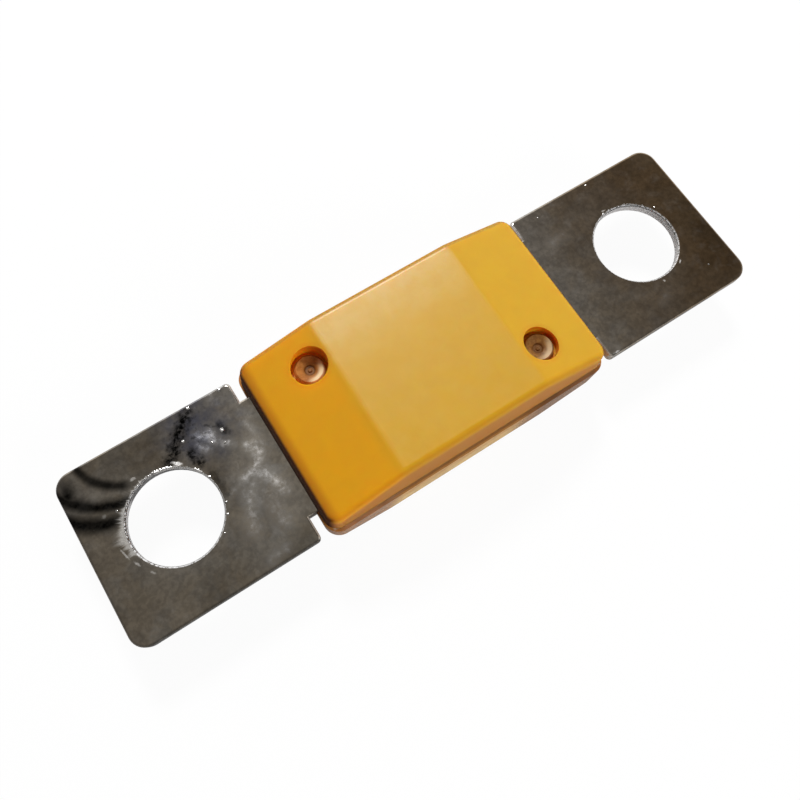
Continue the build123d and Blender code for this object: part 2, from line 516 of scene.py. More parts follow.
# %% Plated strip, streaks
SOOT = [  # points, half width and strength: the black streak above the near hole, and marks beside it
    ([(-23.7, 4.35), (-22.2, 5.8), (-20.4, 7.6)], 0.95, 1.0),
    ([(-21.65, 4.1), (-21.35, 3.0)], 0.7, 0.95),
    ([(-19.4, 5.7), (-18.2, 4.95)], 0.18, 0.5),
    ([(-18.4, 5.2), (-18.05, 4.3)], 0.5, 0.75),
    ([(-20.95, 1.6), (-20.75, -0.6)], 0.6, 0.5),
]
SMEARS = [  # points, half width and strength of the pale smears
    ([(-16.95, 2.2), (-16.65, 0.9), (-17.5, 0.1), (-18.8, -0.3)], 1.62, 0.95),
    ([(-18.6, -0.3), (-20.6, -0.9)], 1.22, 0.6),
    ([(-17.5, 0.0), (-16.9, -1.2), (-16.4, -2.8)], 1.69, 1.0),
    ([(-17.6, -0.2), (-18.7, -1.4)], 1.49, 0.7),
    ([(-19.0, -1.6), (-20.4, -4.6)], 2.03, 0.85),
    ([(-17.8, -3.7), (-17.6, -5.4)], 2.29, 0.75),
    ([(-20.2, -7.6), (-18.8, -7.35)], 1.35, 0.8),
    ([(-20.5, 5.2), (-19.6, 5.0), (-19.3, 4.1)], 1.15, 1.1),
    ([(-20.7, 4.3), (-20.3, 3.8)], 1.0, 0.85),
    ([(-18.8, 3.45), (-18.5, 3.3)], 0.65, 1.1),
    ([(-18.6, 3.4), (-18.2, 3.0)], 1.1, 0.5),
    ([(-16.2, 4.0), (-16.0, 1.5)], 1.1, 0.5),
    ([(18.2, 4.3), (19.6, 4.5)], 1.3, 0.45),
    ([(23.4, -6.4), (24.4, -5.9)], 1.0, 0.5),
    ([(15.75, 8.3), (15.75, 6.4)], 0.4, 1.4),
]


def draw_streaks(tree, place, streaks, shake, rag, core):
    """All streaks of one kind. Shake moves them and rag frays them: each is a size and an amount."""
    moved = shaken(tree, place, *shake)
    rag_size, rag_amount = rag
    fray = noise_value(tree, place, rag_size, 5.0, 0.6)
    pull = times(tree, minus(tree, fray, 0.5), 4 * rag_amount)
    return highest(tree, *[
        times(tree, streak(tree, moved, points, half_width, pull, core), strength)
        for points, half_width, strength in streaks])


print(len(SOOT), "dark streaks and", len(SMEARS), "pale ones")

# %% Plated strip, patches
HAZES = [  # centre, half lengths, angle and strength of wide, faint dulling
    ((-18.2, -2.2), (3.8, 6.6), 0, 0.45),
    ((-18.6, -5.2), (3.0, 3.2), 0, 0.35),
    ((-16.2, 3.0), (1.2, 4.6), 0, 0.35),
    ((-19.8, 4.6), (2.0, 1.6), 0, 0.4),
]
CHIPS = [  # places where the plating has flaked: they are bare and bright
    ((-23.1, 3.98), (0.72, 0.24), -40, 1.0),
    ((-30.42, -0.65), (0.12, 0.85), 14, 0.65),
    ((-29.9, -1.85), (0.14, 0.5), 25, 0.6),
    ((-29.1, -3.2), (0.14, 0.32), 35, 0.5),
    ((-27.0, 4.8), (0.4, 0.2), 0, 0.5),
    ((-30.5, 3.15), (0.28, 0.22), 0, 0.35),
    ((27.85, -3.9), (0.3, 0.14), 40, 0.9),
    ((25.15, -4.72), (0.16, 0.22), 0, 0.7),
    ((24.8, 4.55), (0.35, 0.12), 0, 0.6),
    ((16.6, -8.15), (0.5, 0.12), 0, 1.0),
    ((-16.6, 8.25), (0.45, 0.14), 0, 0.9),
]
TINTS = [  # where the sheet is darker than elsewhere
    ((-26.0, 6.7), (6.8, 3.8), 0, 0.85),
    ((-18.0, -7.9), (3.4, 1.3), 0, 1.0),
    ((-24.5, -6.9), (6.5, 2.8), 0, 0.6),
    ((-20.6, 0.8), (1.6, 4.0), 0, 0.55),
    ((-31.5, -3.5), (4.5, 7.0), 0, 0.45),
    ((-16.5, -7.6), (4.0, 2.6), 0, 0.9),
    ((-19.6, 3.2), (2.5, 2.5), 0, 0.45),
    ((-24.0, -8.4), (12.0, 0.8), 0, 0.5),
    ((31.5, -6.0), (4.0, 4.5), 0, 0.45),
    ((32.4, -3.0), (2.6, 6.0), 0, 0.75),
]


def draw_patches(tree, place, marks, rag, rag_size, core):
    """All patches of one kind."""
    return highest(tree, *[
        times(tree, patch(tree, place, centre, reach, turn, rag, rag_size, core), strength)
        for centre, reach, turn, strength in marks])


print(len(HAZES), "hazes,", len(CHIPS), "chips and", len(TINTS), "tints")

# %% [markdown]
# The tone of clean plating comes first: palest beside the housing, browner towards the far end, with
# darker tints at their places. Three clouds of different sizes keep any part of it from being flat.

# %% Plated strip, tone
TIN = (0.80, 0.735, 0.645)
TIN_BY_HOUSING = (0.96, 0.90, 0.81)
TIN_FAR_END = (0.50, 0.36, 0.22)


def plating_tone(tree, place, x, uneven):
    color = blend(tree, rise(tree, unsigned(tree, x), 21, 15), TIN, TIN_BY_HOUSING)
    color = blend(tree, rise(tree, x, 12, 33), color, TIN_FAR_END)
    tint = draw_patches(tree, place, TINTS, 0.10, 2.0, 0.1)
    color = filter_by(tree, times(tree, tint, 0.9), color, (0.60, 0.57, 0.52))
    warm = cloud(tree, place, 3.5, 0.42, 0.6, detail=3, warp=0.5)
    color = filter_by(tree, times(tree, warm, 0.6), color, (0.96, 0.88, 0.76))
    color = filter_by(tree, times(tree, uneven, 0.9), color, (0.70, 0.70, 0.71))
    fine = cloud(tree, place, 0.45, 0.36, 0.64, detail=6)
    return filter_by(tree, times(tree, fine, 0.8), color, (0.74, 0.74, 0.74))


print("tin from", TIN_BY_HOUSING, "at the housing to", TIN_FAR_END, "at the far end")

# %% [markdown]
# Then the dark marks. The rub above the near hole is bluish and lies under the soot. Soot, grime and
# the painted reflection bands are joined in one mask, which also keeps the pale marks off them.

# %% Plated strip, dark marks
RUBBED_BLUE = (0.29, 0.30, 0.39)
# The soot's black, which also paints the dark reflection bands.
BLACK_SOOT_AND_REFLECTION = (0.007, 0.007, 0.007)


def blue_rub(tree, place):
    rub = patch(tree, place, (-20.2, 5.9), (5.0, 4.8), turn=-8, rag=0.22, rag_size=1.2, core=0.1)
    cloudy = times(tree, cloud(tree, place, 0.9, 0.35, 0.65, detail=6), 0.4)
    return times(tree, rub, plus(tree, 0.60, cloudy))


def dark_marks_and_reflections(tree, place):
    soot = draw_streaks(tree, place, SOOT, shake=(0.7, 0.25), rag=(0.5, 0.4), core=0.1)
    gaps = times(tree, cloud(tree, place, 0.35, 0.45, 0.7, detail=4), 0.65)
    soot = times(tree, soot, minus(tree, 1.0, gaps))
    around_soot = patch(tree, place, (-21.2, 5.9), (3.9, 2.9), turn=20, core=0.2)
    grime = times(tree, cloud(tree, place, 0.5, 0.52, 0.68, detail=6), around_soot, 0.55)
    return highest(tree, soot, grime, painted_reflection_bands(tree, place))


print("soot keeps", BLACK_SOOT_AND_REFLECTION[0], "of the light, the rub", RUBBED_BLUE)

# %% [markdown]
# Where hands and cloths dulled the mirror it scatters the lamp's glow and looks pale: smears, a haze
# about them, threads in the haze, and a faint dulling everywhere.

# %% Plated strip, dulled places
DULLED_TIN = (0.84, 0.84, 0.85)


def dull_marks(tree, place):
    smoke = cloud(tree, place, 0.9, 0.32, 0.68, detail=7, warp=0.5)
    smears = draw_streaks(tree, place, SMEARS, shake=(1.0, 0.25), rag=(0.5, 0.14), core=-0.6)
    grain = times(tree, cloud(tree, place, 0.45, 0.3, 0.7, detail=7), 0.75)
    smears = times(tree, smears, plus(tree, 0.55, grain))
    hazy = draw_patches(tree, place, HAZES, 0.2, 1.6, 0.0)
    threads = times(tree, wisps(tree, place, 2.2, 0.07, 0.6), hazy)
    faint = times(tree, cloud(tree, place, 1.0, 0.48, 0.75, detail=6), 0.22)
    return highest(tree, smears, times(tree, smoke, hazy), threads, faint)


print("dulled tin is", DULLED_TIN)

# %% [markdown]
# Round the holes the punch has torn the plating. The near hole has a wide pale rim at one side with
# fine lines in it and a narrow rim all round, and the far hole only a thin one. The bores themselves
# are cut metal without polish, and so is the step beside each neck.

# %% Plated strip, torn plating
BARE_TIN = (0.90, 0.89, 0.87)
CUT_METAL = (0.86, 0.86, 0.88)


def torn_plating(tree, place):
    pale = torn_rim(tree, place, -STUD_X, 0.95, 168, reach=40, least=0.0, teeth=0.7)
    lines = torn_rim(tree, place, -STUD_X, 0.80, 140, reach=36, least=0.0, teeth=0.05)
    edge = torn_rim(tree, place, -STUD_X, 0.26, 120, reach=110, least=0.40, teeth=0.30)
    far_edge = torn_rim(tree, place, STUD_X, 0.09, 60, reach=90, least=0.2, teeth=0.25)
    chips = draw_patches(tree, shaken(tree, place, 0.3, 0.06), CHIPS, 0.25, 0.25, 0.3)
    return highest(tree, times(tree, pale, 0.7), times(tree, lines, 0.12), times(tree, edge, 0.75),
                   far_edge, chips)


def bores(tree, x, y):
    """1 on the walls of both stud holes: one hole and its mirror image are drawn together."""
    one_side = add_node(tree, "ShaderNodeCombineXYZ", {0: unsigned(tree, x), 1: y}).outputs[0]
    from_hole = distance_from(tree, one_side, (STUD_X, 0))
    return rise(tree, from_hole, STUD_HOLE / 2 + 0.12, STUD_HOLE / 2 + 0.04)


print("bare tin is", BARE_TIN, "and cut metal", CUT_METAL)

# %% [markdown]
# The masks come together in the metal. Soot and the painted reflection bands darken the colour, and so
# does a painted reflection of the dark along the near blade's rolled edge. Smears and torn plating
# lighten it and make it rougher, so they catch the lamp's glow where clean metal mirrors the dark.
# The relief is slight: long waves in the sheet, and grain where the plating is dull or torn.

# %% Plated strip, relief
WAVE_HEIGHT = 0.012  # mm
GRAIN_HEIGHT = 0.03


def plating_relief(tree, place, dull, rim):
    sheet = add_node(tree, "ShaderNodeBump", {
        "Strength": 1.0, "Distance": WAVE_HEIGHT * MM, "Height": noise_value(tree, place, 2.0, 2.0)})
    worn = calc(tree, "ADD", times(tree, dull, 0.1), times(tree, rim, 0.8), clamp=True)
    grain = noise_value(tree, place, 1 / 7.0, 3.0)
    bump = add_node(tree, "ShaderNodeBump", {
        "Strength": worn, "Distance": GRAIN_HEIGHT * MM, "Height": grain, "Normal": sheet.outputs[0]})
    return bump.outputs[0]


print("waves are", WAVE_HEIGHT, "mm high and grain", GRAIN_HEIGHT, "mm")

# %% Plated strip, material
POLISHED = 0.10  # roughness of clean plating


def make_plating():
    material, tree = new_material("bright_plate")
    place = place_in_mm(tree)
    x, y, z = split(tree, place)
    lean_x, lean_y, up = normal_parts(tree)
    upper_face = rise(tree, z, 0.1, 0.35)
    uneven = cloud(tree, place, 1.9, 0.3, 0.7, detail=6, warp=0.6)
    color = blend(tree, blue_rub(tree, place), plating_tone(tree, place, x, uneven), RUBBED_BLUE)
    # Soot and grime are stains; the bands in this mask are a painted reflection of the dark.
    dark = times(tree, dark_marks_and_reflections(tree, place), upper_face)
    color = blend(tree, dark, color, BLACK_SOOT_AND_REFLECTION)
    dull = times(tree, dull_marks(tree, place), minus(tree, 1.0, times(tree, dark, 0.8)))
    color = blend(tree, times(tree, dull, 0.6), color, DULLED_TIN)
    rim = times(tree, torn_plating(tree, place), upper_face)
    dots = times(tree, specks(tree, place, 1.1, 0.07, 0.3), 0.5)
    color = blend(tree, highest(tree, rim, dots), color, BARE_TIN)
    cut = bores(tree, x, y)
    color = blend(tree, times(tree, cut, 0.85), color, CUT_METAL)
    step = times(tree, rise(tree, unsigned(tree, x), 16.1, 15.9), rise(tree, up, 0.98, 0.8))
    matt = highest(tree, times(tree, rim, 0.35), times(tree, cut, 0.8), times(tree, step, 0.6))
    # The rolled edge of the near blade is painted dark towards the left and the front, a painted
    # reflection of the dark room.
    rolled_edge_reflection = times(tree, rise(tree, up, 0.93, 0.5), rise(tree, x, 0, -1),
                   rise(tree, plus(tree, lean_x, lean_y), 0.1, -0.3))
    color = filter_by(tree, times(tree, rolled_edge_reflection, 0.8), color, (0.10, 0.10, 0.10))
    roughness = plus(tree, POLISHED, times(tree, uneven, 0.02), times(tree, dull, 0.25),
                     times(tree, rim, 0.16), times(tree, matt, 0.30))
    shader = add_node(tree, "ShaderNodeBsdfPrincipled", {
        "Base Color": color, "Metallic": minus(tree, 1.0, times(tree, matt, 0.7)),
        "Roughness": roughness, "Normal": plating_relief(tree, place, dull, rim)})
    finish_material(material, shader)
    return material


PLATING = make_plating()
dress("fuse_link", PLATING)

# %% [markdown]
# ## Amber cover
# The upper cover is moulded in a translucent amber resin with a satin surface. Much of its light and
# shade is painted into its colour: painted shade makes the near slope a deeper orange than the
# yellower far one, its walls browner than its roof and its ends dark, a painted sheen makes the roof
# paler, and the bores over the rivet pins get a painted dark red glow. Subsurface scattering does a
# little of this, but is noisy on thin walls, so most of the colour follows the place and the slope of
# the surface.

# %% Amber cover, sizes
PIN_PLACES = [(-9.2, 4.46), (9.2, -4.46)]
SEAM_Z = 0.5
ROOF_Z = 5.05      # height of the flat roof
CREASE_X = 7.25    # where the roof starts to slope
SLOPE = 0.303      # how much it falls for each mm towards the end
RECESS_R = 1.68    # the recesses over the pins


def from_pins(tree, x, y):
    """Offset and distance in plan from each visible pin."""
    offsets = []
    for pin_x, pin_y in PIN_PLACES:
        dx, dy = minus(tree, x, pin_x), minus(tree, y, pin_y)
        far = calc(tree, "SQRT", plus(tree, times(tree, dx, dx), times(tree, dy, dy)))
        offsets.append((dx, dy, far))
    return offsets


print(len(PIN_PLACES), "pins show in recesses", 2 * RECESS_R, "mm wide")

# %% Amber cover, roof
# Painted shade: the deeper orange of the near slope. Painted sheen: the pale colour of the roof.
AMBER_NEAR_SHADE = (0.725, 0.345, 0.005)
AMBER_FAR = (0.575, 0.325, 0.013)
ROOF_PAINTED_SHEEN = (0.74, 0.60, 0.32)


def amber_roof(tree, place, x, y, up, mottle):
    """The near slope gets a painted shade of deeper orange, and the flat of the roof a painted sheen
    that is paler than the slopes, most so towards the back.
    """
    color = blend(tree, rise(tree, x, -8.6, -6.4), AMBER_NEAR_SHADE, AMBER_FAR)
    flat = times(tree, rise(tree, up, 0.975, 0.995), rise(tree, unsigned(tree, x), 7.9, 6.9))
    roof_sheen = plus(tree, 0.05, times(tree, rise(tree, y, 1.5, 8.0), 0.24))
    cloudy = plus(tree, 0.7, times(tree, cloud(tree, place, 1.6, 0.3, 0.7, detail=5), 0.6))
    color = blend(tree, times(tree, flat, roof_sheen, cloudy), color, ROOF_PAINTED_SHEEN)
    return filter_by(tree, times(tree, mottle, 0.35), color, (0.92, 0.90, 0.84))


print("amber from", AMBER_NEAR_SHADE, "to", AMBER_FAR)

# %% [markdown]
# The wall is painted brown below the roof's edge, whose height falls towards the ends, as painted
# shade, and walls that face front or back are painted browner. The upper edge at the back is painted
# greyer as shade, because it turns away from the lamp. The ends are painted almost black as shade, and
# before that the near end is painted a darker orange.

# %% Amber cover, walls and ends
# Painted shade for the walls and for the ends.
WALL_SHADE_BROWN = (0.40, 0.15, 0.036)
END_SHADE_DARK = (0.050, 0.012, 0.002)


def amber_wall_shade(tree, color, x, z, lean_y, up):
    past_crease = highest(tree, minus(tree, unsigned(tree, x), CREASE_X), 0.0)
    roof_z = minus(tree, ROOF_Z, times(tree, past_crease, SLOPE))
    below = minus(tree, roof_z, z)
    # Painted shade: walls facing front or back, the wall below the roof's edge, and the back edge.
    turned_shade = rise(tree, unsigned(tree, lean_y), 0.15, 0.8)
    color = filter_by(tree, times(tree, turned_shade, 0.5), color, (0.88, 0.68, 0.50))
    wall = times(tree, rise(tree, up, 0.75, 0.15), rise(tree, below, 0.2, 1.5))
    color = blend(tree, times(tree, wall, 0.85), color, WALL_SHADE_BROWN)
    back_edge_shade = times(tree, rise(tree, lean_y, 0.05, 0.35), rise(tree, up, 0.1, 0.4))
    return filter_by(tree, times(tree, back_edge_shade, 0.8), color, (0.66, 0.66, 0.70))


def amber_end_shade(tree, color, x, y, up):
    """Returns the colour and the mask of the ends, which are painted dark as shade."""
    off_corners = rise(tree, unsigned(tree, y), 8.4, 7.6)
    # Painted shade: the near end darker, and both ends near black.
    near_end_shade = times(tree, rise(tree, x, -13.4, -14.3), off_corners)
    color = filter_by(tree, times(tree, near_end_shade, 0.75), color, (0.62, 0.42, 0.30))
    end = times(tree, rise(tree, unsigned(tree, x), 13.95, 14.6), rise(tree, up, 0.94, 0.55),
                off_corners)
    return blend(tree, times(tree, end, 0.96), color, END_SHADE_DARK), end


print("walls turn", WALL_SHADE_BROWN, "and ends", END_SHADE_DARK)

# %% Amber cover, recesses and seam
# Painted glow for the walls of the recesses.
PAINTED_GLOW_NEAR = (1.0, 0.40, 0.010)
PAINTED_GLOW_FAR = (0.70, 0.265, 0.006)
# Painted shadow colour for the line along the seam.
SEAM_SHADE = (0.12, 0.05, 0.02)


def amber_recesses(tree, color, x, y, z, up):
    """Their walls get a painted glow, with painted shade near the top, and their lips a ring of
    painted shade.
    """
    offsets = from_pins(tree, x, y)
    inside = highest(tree, *[rise(tree, far, RECESS_R + 0.07, RECESS_R + 0.01)
                             for _, _, far in offsets])
    below_roof = highest(tree, rise(tree, up, 0.8, 0.5), rise(tree, z, 3.5, 3.3))
    bore = times(tree, inside, below_roof)
    glow = blend(tree, rise(tree, x, -1, 1), PAINTED_GLOW_NEAR, PAINTED_GLOW_FAR)
    color = blend(tree, bore, color, glow)
    # Painted shade near the top of the recess walls, and round their lips.
    bore_top_shade = times(tree, bore, rise(tree, z, 3.3, 4.3))
    color = filter_by(tree, times(tree, bore_top_shade, 0.85), color, (0.60, 0.38, 0.33))
    about = highest(tree, *[rise(tree, far, RECESS_R + 0.52, RECESS_R + 0.02)
                            for _, _, far in offsets])
    lip_shade = times(tree, about, minus(tree, 1.0, bore))
    return filter_by(tree, times(tree, lip_shade, 0.5), color, (0.95, 0.72, 0.40))


def amber_seam_shadow(tree, color, x, z):
    """A painted shadow line along the seam, which fades towards the ends."""
    line = rise(tree, z, SEAM_Z + 0.22, SEAM_Z + 0.05)
    strength = blend_value(tree, rise(tree, unsigned(tree, x), 8.0, 12.0), 0.55, 0.05)
    return blend(tree, times(tree, line, strength), color, SEAM_SHADE)


print("recess walls glow", PAINTED_GLOW_NEAR, "and", PAINTED_GLOW_FAR)

# %% Amber cover, material
SATIN = 0.37  # roughness of the roof
FINE_TEXTURE = 0.004  # heights in mm
SOFT_WAVES = 0.02


def make_amber():
    material, tree = new_material("amber_resin")
    place = place_in_mm(tree)
    x, y, z = split(tree, place)
    _, lean_y, up = normal_parts(tree)
    mottle = cloud(tree, place, 2.2, 0.3, 0.7, detail=5, warp=0.5)
    color = amber_roof(tree, place, x, y, up, mottle)
    color = amber_wall_shade(tree, color, x, z, lean_y, up)
    color, end = amber_end_shade(tree, color, x, y, up)
    color = amber_recesses(tree, color, x, y, z, up)
    color = amber_seam_shadow(tree, color, x, z)
    roughness = plus(tree, SATIN, times(tree, mottle, 0.05),
                     times(tree, rise(tree, up, 0.945, 0.8), 0.22), times(tree, end, 0.35))
    height = plus(tree, times(tree, noise_value(tree, place, 1 / 5.0, 4.0), FINE_TEXTURE),
                  times(tree, noise_value(tree, place, 1 / 0.6, 2.0), SOFT_WAVES))
    bump = add_node(tree, "ShaderNodeBump", {"Strength": 1.0, "Distance": MM, "Height": height})
    shader = add_node(tree, "ShaderNodeBsdfPrincipled", {
        "Base Color": color, "Roughness": roughness, "Specular IOR Level": 0.42,
        "Subsurface Weight": 0.6, "Subsurface Radius": (1.0, 0.4, 0.1), "Subsurface Scale": 2.2 * MM,
        "Normal": bump.outputs[0]})
    finish_material(material, shader)
    return material


AMBER = make_amber()
dress("upper_cover", AMBER)

# %% [markdown]
# ## Clear cover
# The lower cover is moulded in clear plastic with a smoky brown cast. What shows through it is painted
# into its colour: in the middle of its long sides painted cream light stands for the table's light
# passing through, towards the ends painted smoky brown stands for the dark inside of the housing, the
# far end is painted greyer as shade, and the corners are painted amber for the amber cover seen
# through them. Faint painted shadow lines mark the seam and the bottom edge. It could be plain glass
# with the amber showing through, but a thin wall of that is noisy, so most of what shows through it is
# painted as colour.

# %% Clear cover, walls
# Painted light: cream where the table's light passes through, and amber where the amber cover shows
# through at the corners.
CREAM_LIGHT = (1.0, 0.70, 0.28)
CREAM_DEEP_LIGHT = (0.90, 0.58, 0.20)
CORNER_PAINTED_AMBER = (0.52, 0.20, 0.035)


def clear_walls(tree, place, x, z, far_x, far_y):
    # Painted light and shade: cream light in the middle of the long walls, browner near the seam,
    # greyer towards the far end and amber at the corners.
    smoky = cloud(tree, place, 0.9, 0.35, 0.65, detail=6)
    wall = blend(tree, smoky, (0.58, 0.30, 0.14), (0.48, 0.26, 0.13))
    wall = blend(tree, rise(tree, far_x, 6.5, 9.0), (0.50, 0.23, 0.07), wall)
    ragged = plus(tree, x, times(tree, cloud(tree, place, 0.8, 0.3, 0.7, detail=5), 0.6))
    strip = times(tree, rise(tree, ragged, -9.4, -6.8), rise(tree, ragged, 7.6, 4.2),
                  rise(tree, far_y, 8.56, 8.66))
    painted_cream = blend(tree, cloud(tree, place, 1.3, 0.35, 0.65, detail=5), CREAM_LIGHT, CREAM_DEEP_LIGHT)
    painted_cream = filter_by(tree, rise(tree, z, -3.5, 0.5), painted_cream, (0.86, 0.66, 0.50))
    wall = blend(tree, strip, wall, painted_cream)
    wall = filter_by(tree, times(tree, rise(tree, x, 3.5, 9.5), 0.8), wall, (0.54, 0.52, 0.50))
    corner = times(tree, rise(tree, far_x, 13.2, 14.3), rise(tree, z, -3.5, -0.5))
    return blend(tree, times(tree, corner, 0.85), wall, CORNER_PAINTED_AMBER)


print("sides from", CREAM_LIGHT, "in the middle to", CORNER_PAINTED_AMBER, "at the corners")

# %% [markdown]
# The rivet pins are one piece with this cover, and only their formed heads show, in the recesses of
# the amber cover. They look brown, with a painted dark ring of shade round the nib in the middle and a
# painted pale highlight in a crescent where the dished rim faces the light. The far head is painted
# darker than the near one, as shade.

# %% Clear cover, pin heads
# Painted highlight and painted shade on the pin heads.
HEAD_PAINTED_HIGHLIGHT = (0.98, 0.78, 0.46)
HEAD_PAINTED_SHADE = (0.13, 0.048, 0.008)
NIB_RING_R = 0.38


def head_shade_and_highlight(tree, x, y):
    shade_rings, highlight_crescents = [], []
    for dx, dy, far in from_pins(tree, x, y):
        off = unsigned(tree, minus(tree, far, NIB_RING_R))
        shade = times(tree, rise(tree, far, 0.95, 0.2), 0.7)
        shade_rings.append(highest(tree, rise(tree, off, 0.28, 0.04), shade))
        side = minus(tree, times(tree, dx, 0.6), times(tree, dy, 0.8))
        highlight_crescents.append(times(tree, rise(tree, side, 0.1, 1.0), rise(tree, far, 0.6, 0.95),
                               rise(tree, far, 1.42, 1.2)))
    return highest(tree, *shade_rings), highest(tree, *highlight_crescents)


def head_color(tree, place, x, y):
    """Painted shade and highlight: the head at the near end is the lighter of the two."""
    ring_shade, pale = head_shade_and_highlight(tree, x, y)
    grain = cloud(tree, place, 0.35, 0.35, 0.65, detail=5)
    near_head = blend(tree, grain, (0.53, 0.21, 0.045), (0.38, 0.13, 0.022))
    far_head = blend(tree, grain, (0.33, 0.155, 0.036), (0.20, 0.085, 0.018))
    at_far_end = rise(tree, x, -1, 1)
    color = blend(tree, at_far_end, near_head, far_head)
    pale = times(tree, pale, blend_value(tree, at_far_end, 0.95, 0.5))
    color = blend(tree, pale, color, HEAD_PAINTED_HIGHLIGHT)
    return blend(tree, times(tree, ring_shade, 0.8), color, HEAD_PAINTED_SHADE)


print("ring of", NIB_RING_R, "mm round each nib")

# %% Clear cover, material
SMOKY_LIGHT = (0.80, 0.66, 0.50)
SMOKY_DEEP = (0.70, 0.56, 0.42)
GLOSSY = 0.16  # roughness of the clear walls


def make_smoky():
    material, tree = new_material("smoky_resin")
    place = place_in_mm(tree)
    x, y, z = split(tree, place)
    far_x, far_y = unsigned(tree, x), unsigned(tree, y)
    clouds = cloud(tree, place, 1.5, 0.35, 0.65, detail=5)
    color = blend(tree, clouds, SMOKY_LIGHT, SMOKY_DEEP)
    outer = highest(tree, rise(tree, far_y, 8.1, 8.4), rise(tree, far_x, 14.3, 14.6))
    color = blend(tree, outer, color, clear_walls(tree, place, x, z, far_x, far_y))
    # Painted shadow lines along the bottom edge and the seam.
    edge = highest(tree, rise(tree, z, -4.92, -5.05), rise(tree, z, SEAM_Z - 0.2, SEAM_Z - 0.05))
    edge = times(tree, edge, outer, rise(tree, far_x, 12.0, 8.0), 0.3)
    color = blend(tree, edge, color, (0.10, 0.045, 0.02))
    head = rise(tree, z, 2.2, 2.6)
    color = blend(tree, head, color, head_color(tree, place, x, y))
    height = times(tree, noise_value(tree, place, 1 / 3.0, 3.0), 0.01)
    bump = add_node(tree, "ShaderNodeBump", {"Strength": 1.0, "Distance": MM, "Height": height})
    roughness = plus(tree, GLOSSY, times(tree, clouds, 0.08), times(tree, head, 0.3))
    shader = add_node(tree, "ShaderNodeBsdfPrincipled", {
        "Base Color": color, "Roughness": roughness, "Transmission Weight": 0.12, "IOR": 1.45,
        "Specular IOR Level": 0.3, "Normal": bump.outputs[0]})
    finish_material(material, shader)
    return material


SMOKY = make_smoky()
dress("lower_cover", SMOKY)

# %% [markdown]
# ## Burr round the stud holes
# The punch pushes up a ragged lip of metal and plating round each hole. It is far too small for the
# CAD, but its facets catch the light. A ring of quads follows the hole, and noise lifts its crest
# and spreads its foot. Where the noise is low the ring stays under the surface and nothing shows.

# %% Burr mesh
TOP_Z = 0.5                  # upper face of the strip
RIM_R = STUD_HOLE / 2 + 0.1  # outside of the broken edge round the hole
BURR_STEPS = 480


def raggedness(angle, seed, step):
    """Noise round a circle, from -1 to 1, with features about one step wide."""
    turns = RIM_R / step
    return noise.noise(Vector((cos(angle) * turns, sin(angle) * turns, seed)))


def burr_mesh(name, centre_x, heavy_side, seed, height):
    mesh = bpy.data.meshes.new(name)
    form = bmesh.new()
    rows = []
    for i in range(BURR_STEPS):
        angle = 2 * pi * i / BURR_STEPS
        near = 0.5 + 0.5 * cos(angle - radians(heavy_side))
        teeth = raggedness(angle, seed, 0.22) + 0.5 * raggedness(angle, seed + 7, 0.09)
        lump = raggedness(angle, seed + 3, 1.6) + 0.9 * near - 0.35
        lift = height * max(0.0, teeth + lump) * (0.2 + near ** 3) - 0.01
        foot = RIM_R + 0.05 + 0.10 * max(0.0, lump + teeth) * near
        crest = RIM_R - 0.02 + 0.05 * teeth
        section = [(RIM_R - 0.17, TOP_Z - 0.19), (crest, TOP_Z + lift), (foot, TOP_Z - 0.005)]
        rows.append([form.verts.new(Vector((centre_x + r * cos(angle), r * sin(angle), z)) * MM)
                     for r, z in section])
    for i in range(BURR_STEPS):
        here, there = rows[i], rows[(i + 1) % BURR_STEPS]
        for k in range(2):
            form.faces.new((here[k], there[k], there[k + 1], here[k + 1]))
    form.normal_update()
    form.to_mesh(mesh)
    form.free()
    return mesh


print("burr starts", round(RIM_R, 2), "mm from the middle of the hole")

# %% [markdown]
# Burr and beads are the same tin as the strip, but torn or grown, so they have their own unpolished
# finish. They hold on to the strip, so they ride on the root body.

# %% Burr pieces
def add_piece(name, mesh, material):
    piece = bpy.data.objects.new(name, mesh)
    bpy.context.scene.collection.objects.link(piece)
    mesh.materials.append(material)
    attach(piece, "root")
    print(name, "has", len(mesh.polygons), "faces")
    return piece


def make_torn_metal():
    material, tree = new_material("torn_metal")
    place = place_in_mm(tree)
    tone = cloud(tree, place, 0.25, 0.35, 0.65, detail=4)
    color = blend(tree, tone, (0.55, 0.53, 0.50), (0.88, 0.87, 0.85))
    roughness = plus(tree, 0.16, times(tree, tone, 0.2))
    shader = add_node(tree, "ShaderNodeBsdfPrincipled", {
        "Base Color": color, "Metallic": 1.0, "Roughness": roughness})
    finish_material(material, shader)
    return material


TORN_METAL = make_torn_metal()
for name, centre_x, heavy_side, seed, height in (("burr_left", -STUD_X, 75, 2.0, 0.03),
                                                 ("burr_right", STUD_X, 80, 11.0, 0.015)):
    add_piece(name, burr_mesh(name, centre_x, heavy_side, seed, height), TORN_METAL)

# %% [markdown]
# ## Nodules
# Here and there a grain of plating has grown into a tiny bead that stands proud and shines. A bump
# can't catch the light from every side as a real bead does, so each is a small dented dome.

# %% Nodules
NODULES = [  # place and radius
    ((-21.76, 5.47), 0.16), ((-18.37, 4.63), 0.2), ((-19.98, 7.97), 0.15), ((-16.8, 8.05), 0.18),
    ((-29.4, 3.0), 0.13), ((-19.64, 4.05), 0.1), ((-18.72, 3.45), 0.12),
    ((-21.14, -1.24), 0.12), ((-21.5, -2.22), 0.13),
    ((-22.5, -3.5), 0.08), ((18.6, 7.35), 0.08), ((25.05, 7.85), 0.08),
    ((30.05, -5.65), 0.08), ((29.5, 2.2), 0.08),
]
FLATTENED = 0.35  # height of a bead for its radius
SUNK = -0.3       # a bead is cut off this far below its middle


